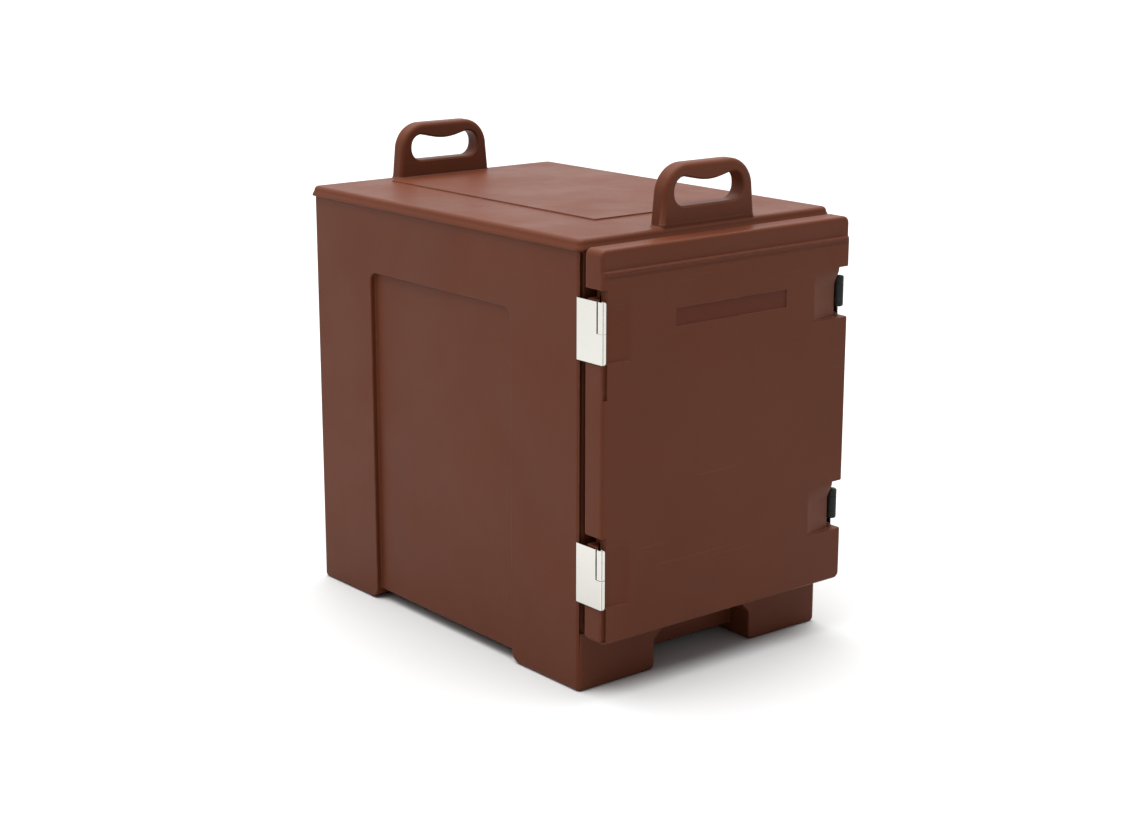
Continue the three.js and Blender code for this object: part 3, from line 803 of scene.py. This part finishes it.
def door_bead():
    """The half-round bead across the door, under its top band."""
    half_high = BEAD_HIGH / 2
    middle_y = DOOR_FRONT + BAND_SET_BACK
    return rod(
        "x", (middle_y, BEAD_TOP - half_high), (BAND_SET_BACK + BEAD_PROUD, half_high),
        -HALF_WIDTH + BEAD_END, HALF_WIDTH - BEAD_END, 0.0018, 20)


def bead_cove():
    """The shallow hollow that runs under the bead."""
    half_high = 0.0035
    centre = (DOOR_FRONT - 0.0010, BEAD_TOP - BEAD_HIGH - half_high + 0.0008)
    deep = 0.0018
    return rod("x", centre, (deep, half_high), -HALF_WIDTH - BEYOND, HALF_WIDTH + BEYOND, 0, 20)


def darken_plaque(door):
    """Gives the blank plaque's sunken floor its own darker plastic."""
    door.data.materials.append(PLAQUE_BROWN)
    (left, right), (low, high) = PLAQUE["x"], PLAQUE["z"]
    for polygon in door.data.polygons:
        centre = polygon.center
        inside = left < centre.x < right and low < centre.z < high
        if inside and DOOR_FRONT + 0.0002 < centre.y < DOOR_FRONT + 2 * PLAQUE["deep"]:
            polygon.material_index = 1


def door_shell():
    across = (-HALF_WIDTH, HALF_WIDTH)
    door = rounded_slab(
        "y", across, (door_low.z, door_high.z), DOOR_CORNER, DOOR_FRONT + BAND_SET_BACK, DOOR_BACK,
        DOOR_EDGE, 0.003, "door")
    proud = (0.0045, 0.0045, DOOR_CORNER, DOOR_CORNER)
    join(door, rounded_slab(
        "y", across, (door_low.z, BEAD_TOP), proud, DOOR_FRONT, DOOR_BACK - 0.006, DOOR_EDGE, 0))
    for place in LATCHES:
        cut(door, *latch_pocket(place))
        cut(door, *hinge_notch(place))
    soften(door, 0.0016, 3)
    upper, lower = latch_low("upper"), latch_low("lower")
    cut(door,
        latch_groove(upper - 0.046, upper),
        latch_groove(door_low.z + 0.004, lower),
        block(PLAQUE["x"], (DOOR_FRONT - 0.004, DOOR_FRONT + PLAQUE["deep"]), PLAQUE["z"]))
    panel_low, panel_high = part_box("door_inner_panel")
    cut(door, bead_cove(), prism(
        "y", rounded_rectangle(
            (panel_low.x - FIT, panel_high.x + FIT), (panel_low.z - FIT, panel_high.z + FIT), 0.0105),
        DOOR_BACK - 0.008, DOOR_BACK + 0.01))
    soften(door, 0.0005, 2)
    join(door, door_bead())
    cut(door, solid_copy("door_foam"))
    for place in LATCHES:
        leaf_low, leaf_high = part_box(f"{place}_hinge_door_leaf")
        cut(door, block(
            (DOOR_LEAF_X[0] - FIT, DOOR_LEAF_X[1] + FIT), (DOOR_BACK - LEAF_THICK - FIT, DOOR_BACK + BEYOND),
            (leaf_low.z - FIT, leaf_high.z + FIT)))
    deliver(door, "door_shell_moulding", "door", "moulded_brown", MOULDED_BROWN, "door_shell")
    darken_plaque(door)


def door_inner_panel():
    low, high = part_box("door_inner_panel")
    panel = rounded_slab(
        "y", (low.x, high.x), (low.z, high.z), 0.014, low.y, high.y, 0, 0.006, "panel")
    cut(panel, rounded_slab(
        "y", (low.x + WALL, high.x - WALL), (low.z + WALL, high.z - WALL), 0.010,
        low.y - BEYOND, high.y - WALL, 0, 0.004))
    border = 0.030
    field = rounded_slab(
        "y", (low.x + border, high.x - border), (low.z + border, high.z - border), 0.016,
        high.y - 0.0012, high.y + 0.01, 0.0011, 0)
    cut(panel, field)
    plug_low, plug_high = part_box("door_fill_plug")
    middle = ((plug_low.x + plug_high.x) / 2, (plug_low.z + plug_high.z) / 2)
    stem = PLUG_STEM + FIT
    cut(panel, rod("y", middle, (stem, stem), high.y - 0.02, high.y + 0.01, 0))
    soften(panel, 0.0008, 2)
    return deliver(panel, "door_liner_panel", "door", "liner_brown", LINER_BROWN, "door_inner_panel")


def door_gasket():
    """A rubber ring with a flat foot on the door and a soft bulb towards the rim."""
    low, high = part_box("door_gasket")
    width = 0.012
    thick = high.y - low.y
    foot = 0.0028
    profile = [(0.0, 0.0), (0.0, foot - 0.0006), (0.0006, foot), (0.0028, foot + 0.0002)]
    bulb = arc((width / 2, thick - 0.0040), (0.0043, 0.0040), 205, -25, 12)
    profile += bulb
    profile += [
        (width - 0.0028, foot + 0.0002), (width - 0.0006, foot), (width, foot - 0.0006), (width, 0.0)]
    rings = []
    for out, along in profile:
        outline = rounded_rectangle(
            (low.x, high.x), (low.z, high.z), 0.022, width - out, 8)
        rings.append(section("y", outline, low.y + along))
    gasket = loft("gasket", rings, closed=True)
    return deliver(gasket, "door_gasket_ring", "door", "gasket_rubber", GASKET_RUBBER, "door_gasket")


# ---------------------------------------------------------------- fasteners and plugs


def screw(node, axis, way, body):
    """A pan-head screw with a crossed recess, driven towards way."""
    low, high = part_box(node)
    head, head_high, shank = 0.0034, 0.0018, 0.002
    middle = (low + high) / 2
    seat = middle.copy()
    index = "xyz".index(axis)
    seat[index] = low[index] + head_high if way > 0 else high[index] - head_high
    length = high[index] - low[index] - head_high
    dome = [(head * 0.02, -head_high), (head * 0.45, -head_high * 0.97), (head * 0.75, -head_high * 0.82),
            (head * 0.94, -head_high * 0.5), (head, -head_high * 0.15), (head * 0.97, 0.0)]
    thread = []
    turns = 9
    for i in range(turns):
        along = 0.0006 + (length - 0.003) * i / turns
        pitch = (length - 0.003) / turns
        thread += [(shank * 0.74, along), (shank, along + pitch * 0.35), (shank, along + pitch * 0.5)]
    tip = [(shank * 0.7, length - 0.0022), (shank * 0.1, length)]
    made = turned(dome + thread + tip, axis, way, seat, 24, "screw")
    arm, slot = 0.0017, 0.00032
    bottom = sorted((-way * (head_high + 0.001), -way * head_high * 0.25))
    for half_u, half_v in ((arm, slot), (slot, arm)):
        outline = [(-half_u, -half_v), (half_u, -half_v), (half_u, half_v), (-half_u, half_v)]
        tool = prism(axis, outline, bottom[0], bottom[1])
        tool.data.transform(Matrix.Translation(seat))
        cut(made, tool)
    return deliver(made, f"{node}_piece", body, "plain_steel", PLAIN_STEEL, node)


def all_screws():
    for place in LATCHES:
        for i in (1, 2):
            screw(f"{place}_cabinet_leaf_screw_{i}", "y", 1, "cabinet")
            screw(f"{place}_keeper_screw_{i}", "y", 1, "cabinet")
            screw(f"{place}_door_leaf_screw_{i}", "y", -1, "door")
            screw(f"{place}_latch_base_screw_{i}", "x", 1, "door")


def fill_plug(node, body):
    """A push-in plug: a low domed cap with a ring groove, over a stepped stem."""
    low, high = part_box(node)
    seat = Vector(((low.x + high.x) / 2, low.y, (low.z + high.z) / 2))
    total = high.y - low.y
    cap, stem, cap_high = PLUG_CAP, PLUG_STEM, 0.0025
    under = total - cap_high
    profile = [
        (0.0008, 0.0), (stem - 0.0015, 0.0), (stem, 0.0015), (stem, under), (cap - 0.0006, under),
        (cap, under + 0.0006),
        (cap - 0.0002, total - 0.0014), (cap - 0.0012, total - 0.0004), (cap - 0.003, total),
        (0.0125, total),
        (0.0120, total - 0.0008), (0.0108, total - 0.0008), (0.0103, total), (0.0035, total),
        (0.0028, total - 0.0006), (0.0008, total - 0.0007)]
    made = turned(profile, "y", 1, seat, 48, "plug")
    return deliver(made, f"{node}_cap", body, "black_plastic", BLACK_NYLON, node)


# ---------------------------------------------------------------- hinges

KNUCKLE = 0.0065
KNUCKLE_MIDDLE = 0.0107
KNUCKLE_HALF = 0.021
ARM = 0.0043
hinge_x, hinge_y = joints["door_hinge"]["pos_m"][:2]


def knuckle_bore(middle):
    radius = 0.0026
    return rod("z", (hinge_x, hinge_y), (radius, radius), middle - 0.04, middle + 0.04, 0, 24)


def knuckle_barrel(low, high, low_round, high_round):
    rings = [(low + advance, inset) for advance, inset in quarter_round(low_round, 4)]
    rings += [(high - advance, inset) for advance, inset in reversed(quarter_round(high_round, 4))]
    made = []
    for at, inset in rings:
        radius = KNUCKLE - inset
        made.append(section("z", arc((hinge_x, hinge_y), (radius, radius), 0, 360 * 39 / 40, 39), at))
    return loft("tool", made)


def hinge_arm(xs, ys, low, high):
    """The arm that ties a knuckle to its leaf, its edges rounded before it meets the barrel."""
    return rounded_slab("z", xs, ys, 0.0004, low, high, 0.0004, 0.0004)


def cabinet_leaf(place):
    node = f"{place}_hinge_cabinet_leaf"
    low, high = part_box(node)
    middle = hinge_middle(place)
    leaf = rounded_slab(
        "y", (0.193, high.x), (low.z, high.z), 0.003, RIM_Y - FIT - LEAF_THICK, RIM_Y - FIT,
        0.0006, 0, "leaf")
    arm = hinge_arm(
        (high.x - ARM, high.x), (hinge_y, RIM_Y - 0.001), middle - KNUCKLE_MIDDLE, middle + KNUCKLE_MIDDLE)
    join(leaf, arm, knuckle_barrel(middle - KNUCKLE_MIDDLE, middle + KNUCKLE_MIDDLE, 0.0006, 0.0006))
    cut(leaf, knuckle_bore(middle))
    return deliver(leaf, f"{node}_forging", "cabinet", "black_plastic", BLACK_NYLON, node)


def door_leaf(place):
    node = f"{place}_hinge_door_leaf"
    low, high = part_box(node)
    middle = hinge_middle(place)
    inner = KNUCKLE_MIDDLE + 0.0005
    leaf = rounded_slab(
        "y", DOOR_LEAF_X, (low.z, high.z), 0.003, DOOR_BACK - LEAF_THICK, DOOR_BACK, 0, 0.0006, "leaf")
    cut(leaf, block(
        (NOTCH["slot_left"], DOOR_LEAF_X[1] + 0.002), (DOOR_BACK - 0.005, DOOR_BACK + 0.001),
        (middle - inner, middle + inner)))
    inner_round, outer_round = 0.0006, 0.0024
    ends = (
        (middle + inner, middle + KNUCKLE_HALF, inner_round, outer_round),
        (middle - KNUCKLE_HALF, middle - inner, outer_round, inner_round))
    for bottom, top, bottom_round, top_round in ends:
        left = hinge_x - KNUCKLE
        join(leaf,
             hinge_arm((left, left + ARM), (hinge_y, DOOR_BACK - 0.001), bottom + 0.0008, top - 0.0008),
             knuckle_barrel(bottom, top, bottom_round, top_round))
    cut(leaf, knuckle_bore(middle))
    return deliver(leaf, f"{node}_forging", "door", "black_plastic", BLACK_NYLON, node)


def pin(node, body):
    low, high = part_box(node)
    radius = (high.x - low.x) / 2
    centre = ((low.x + high.x) / 2, (low.y + high.y) / 2)
    made = rod("z", centre, (radius, radius), low.z, high.z, radius * 0.4, 28, "pin")
    return deliver(made, f"{node}_rod", body, "plain_steel", PLAIN_STEEL, node)


# ---------------------------------------------------------------- latches

SHEET = 0.0015
LATCH_BEND = 0.0016
LATCH_EDGE = 0.0002
latch_x, latch_y = joints["upper_latch_pivot"]["pos_m"][:2]
lever_low, lever_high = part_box("upper_latch_lever")
LATCH_LEFT = lever_low.x
LATCH_FRONT = lever_low.y
LATCH_REAR = lever_high.y
FLANGE_RIGHT = -0.211
SLOT_Y = LATCH_FRONT + 0.0095
SLOT_WIDE = 0.0026
SLOT_LONG = 0.0395
SPLIT_GAP = {"upper": 0.0001, "lower": 0.0003}  # half of what is left between lever and base


def bent_corner(side_end, low, high):
    """The latch sheet, bent round the door's edge from side_end to the flange."""
    outer, inner = LATCH_BEND, LATCH_BEND - SHEET
    centre = (LATCH_LEFT + outer, LATCH_FRONT + outer)
    outside = arc(centre, (outer, outer), 180, 270, 6)
    inside = arc(centre, (inner, inner), 270, 180, 6)
    outline = [
        (LATCH_LEFT, side_end), *outside, (FLANGE_RIGHT, LATCH_FRONT), (FLANGE_RIGHT, LATCH_FRONT + SHEET),
        *inside, (LATCH_LEFT + SHEET, side_end)]
    return prism("z", outline, low, high)


def latch_curl(low, high):
    """The curl that the pin goes through, with the web that ties it to the sheet."""
    radius = 0.0024
    curl = rod("z", (latch_x, latch_y), (radius, radius), low, high, 0, 24)
    web = block((LATCH_LEFT + SHEET / 2, latch_x), (latch_y - 0.001, latch_y + 0.001), (low, high))
    return join(curl, web)


def latch_bore(low):
    radius = 0.00135
    return rod("z", (latch_x, latch_y), (radius, radius), low - 0.005, low + 0.09, 0, 20)


def flange_rounding(at_z, way):
    """Rounds the flange's free corner at one end; way is +1 to cut above the corner and -1 below it."""
    radius = 0.0028
    corner = (FLANGE_RIGHT, at_z)
    centre = (FLANGE_RIGHT - radius, at_z - way * radius)
    quarter = arc(centre, (radius, radius), 0, 90 * way, 6)
    beyond = 0.001
    outline = [*quarter, (centre[0], at_z + way * beyond), (corner[0] + beyond, at_z + way * beyond),
               (corner[0] + beyond, centre[1])]
    return prism("y", outline, LATCH_FRONT - 0.001, LATCH_FRONT + SHEET + 0.0005)


def bend_seam(low, high):
    """The fine seam beside the bend, between the latch's side and its flange."""
    across = (LATCH_LEFT + 0.0011, LATCH_LEFT + 0.0023)
    return block(across, (LATCH_FRONT - 0.001, LATCH_FRONT + 0.0011), (low - 0.001, high + 0.001))


def latch_lever(place):
    node = f"{place}_latch_lever"
    low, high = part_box(node)
    split = high.z - SLOT_LONG
    bend_top = split - SPLIT_GAP[place]
    past = 0.002
    plate = bent_corner(LATCH_REAR, low.z, high.z)
    cut(plate, block(
        (LATCH_LEFT - past, FLANGE_RIGHT + past), (LATCH_FRONT - past, SLOT_Y + SLOT_WIDE / 2),
        (bend_top, high.z + past)))
    join(plate, latch_curl(low.z, bend_top))
    hook_x = high.x
    hook_middle = (low.z + high.z) / 2
    hook_half = 0.012
    hook_front = RIM_Y - 0.0032
    hook = rounded_slab(
        "y", (LATCH_LEFT + SHEET / 2, hook_x), (hook_middle - hook_half, hook_middle + hook_half), 0.0015,
        hook_front, hook_front + SHEET, 0, 0)
    join(plate, hook)
    cut(plate, latch_bore(low.z), flange_rounding(low.z, -1), bend_seam(low.z, split))
    soften(plate, LATCH_EDGE, 2)
    return deliver(plate, f"{node}_plate", f"{place}_latch", "polished_steel", LATCH_STEEL, node)


def latch_base(place):
    node = f"{place}_latch_base"
    low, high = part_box(node)
    lever_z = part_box(f"{place}_latch_lever")
    split = lever_z[1].z - SLOT_LONG
    plate_x = (high.x - 0.0014, high.x)
    base = rounded_slab(
        "x", (LATCH_FRONT + 0.0105, high.y), (low.z, high.z - 0.002), 0.003, plate_x[0], plate_x[1],
        0, 0, "base")
    top = lever_z[1].z
    bottom = split + SPLIT_GAP[place]
    corner = bent_corner(SLOT_Y - SLOT_WIDE / 2, bottom, top)
    join(base, corner, latch_curl(bottom, top))
    arm = block(plate_x, (latch_y, LATCH_FRONT + 0.012), (bottom, top - 0.002))
    tie = block((latch_x, plate_x[1]), (latch_y, latch_y + 0.002), (bottom, top - 0.002))
    join(base, arm, tie)
    cut(base, latch_bore(lever_z[0].z), flange_rounding(top, 1), bend_seam(bottom, top))
    soften(base, LATCH_EDGE, 2)
    return deliver(base, f"{node}_plate", "door", "polished_steel", LATCH_STEEL, node)


def keeper(place):
    node = f"{place}_latch_keeper"
    low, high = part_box(node)
    bend_x = -0.204
    base_y = (RIM_Y - FIT - SHEET, RIM_Y - FIT)
    plate = rounded_slab(
        "y", (bend_x - SHEET, high.x), (low.z, high.z), 0.003, base_y[0], base_y[1], 0, 0, "keeper")
    step = block((bend_x - SHEET, bend_x), (low.y, base_y[1]), (low.z, high.z))
    nose = rounded_slab("y", (low.x, bend_x), (low.z, high.z), 0.0025, low.y, low.y + SHEET, 0, 0)
    join(plate, step, nose)
    soften(plate, 0.0003, 2)
    return deliver(plate, f"{node}_plate", "cabinet", "plain_steel", PLAIN_STEEL, node)


# ---------------------------------------------------------------- assembly

cabinet_shell()
cabinet_liner()
door_shell()
door_inner_panel()
door_gasket()
fill_plug("cabinet_fill_plug", "cabinet")
fill_plug("door_fill_plug", "door")
all_screws()
for place in LATCHES:
    cabinet_leaf(place)
    door_leaf(place)
    pin(f"{place}_hinge_pin", "door")
    latch_lever(place)
    latch_base(place)
    pin(f"{place}_latch_pin", "door")
    keeper(place)

for node in ("cabinet_foam", "door_foam"):
    foam = frame["nodes"][node]
    foam.data.materials.clear()
    foam.data.materials.append(POURED_FOAM)

# ---------------------------------------------------------------- studio

FLOOR_HALF = 30.0
FLOOR_SEEN = ((0.60, 0.60, 0.60, 1), (0.64, 0.64, 0.64, 1))
FLOOR_BOUNCE = (0.54, 0.54, 0.54, 1)  # what the floor throws back at the carrier


def studio_floor():
    floor = block((-FLOOR_HALF, FLOOR_HALF), (-FLOOR_HALF, FLOOR_HALF), (-0.05, 0.0), "studio_floor")
    material, patch, shader, where = start_material("pale_floor")
    shade_of_floor = patch.remap(patch.noise(where, 0.8, 3.0), 0.3, 0.7, 0.0, 1.0)
    seen = patch.blend(shade_of_floor, *FLOOR_SEEN)
    lighting = patch.node("ShaderNodeLightPath").outputs["Is Diffuse Ray"]
    patch.feed(shader, "Base Color", patch.blend(lighting, seen, FLOOR_BOUNCE))
    shader.inputs["Roughness"].default_value = 0.8
    floor.data.materials.append(material)
    return floor


def softbox(name, place, aim, size, power):
    light = bpy.data.lights.new(name, "AREA")
    light.shape = "RECTANGLE"
    light.size, light.size_y = size
    light.energy = power
    lamp = bpy.data.objects.new(name, light)
    lamp.location = place
    lamp.rotation_euler = (Vector(aim) - Vector(place)).to_track_quat("-Z", "Y").to_euler()
    scene.collection.objects.link(lamp)
    return lamp


def overhead_light(place, spread, strength):
    """Even light from above, as from a wide white ceiling."""
    light = bpy.data.lights.new("ceiling_light", "SUN")
    light.angle = math.radians(spread)
    light.energy = strength
    lamp = bpy.data.objects.new("ceiling_light", light)
    lamp.rotation_euler = Vector(place).to_track_quat("Z", "Y").to_euler()
    scene.collection.objects.link(lamp)
    return lamp


def studio_lights():
    """White to look at, and a softer light on the carrier than the white would give."""
    world = bpy.data.worlds.new("studio_air")
    world.use_nodes = True
    patch = Patch(world.node_tree)
    background = world.node_tree.nodes["Background"]
    background.inputs["Color"].default_value = (1.0, 1.0, 1.0, 1)
    lighting = patch.node("ShaderNodeLightPath").outputs["Is Diffuse Ray"]
    patch.feed(background, "Strength", patch.remap(lighting, 0.0, 1.0, 1.1, 0.36))
    scene.world = world
    middle = (0.0, 0.0, DECK_Z / 2)
    overhead_light((0.03, 0.10, 1.0), 76.0, 5.35)
    softbox("left_softbox", (-1.5, 0.2, 1.5), middle, (1.2, 1.0), 7.0)


def studio_camera():
    """A 66 mm view from the front left, a little above the lid."""
    azimuth, elevation, distance = math.radians(-38.95), math.radians(14.27), 2.909
    aim = (cad_bounds[0] + cad_bounds[1]) / 2 + Vector((-0.0184, 0.0, -0.0425))
    back = Vector((
        math.sin(azimuth) * math.cos(elevation), -math.cos(azimuth) * math.cos(elevation),
        math.sin(elevation)))
    data = bpy.data.cameras.new("studio_camera")
    data.sensor_width = 36.0
    data.lens = 66.26
    camera = bpy.data.objects.new("studio_camera", data)
    camera.location = aim + back * distance
    camera.rotation_euler = (-back).to_track_quat("-Z", "Y").to_euler()
    scene.collection.objects.link(camera)
    scene.camera = camera


studio_floor()
studio_lights()
studio_camera()
scene.view_settings.view_transform = "Standard"
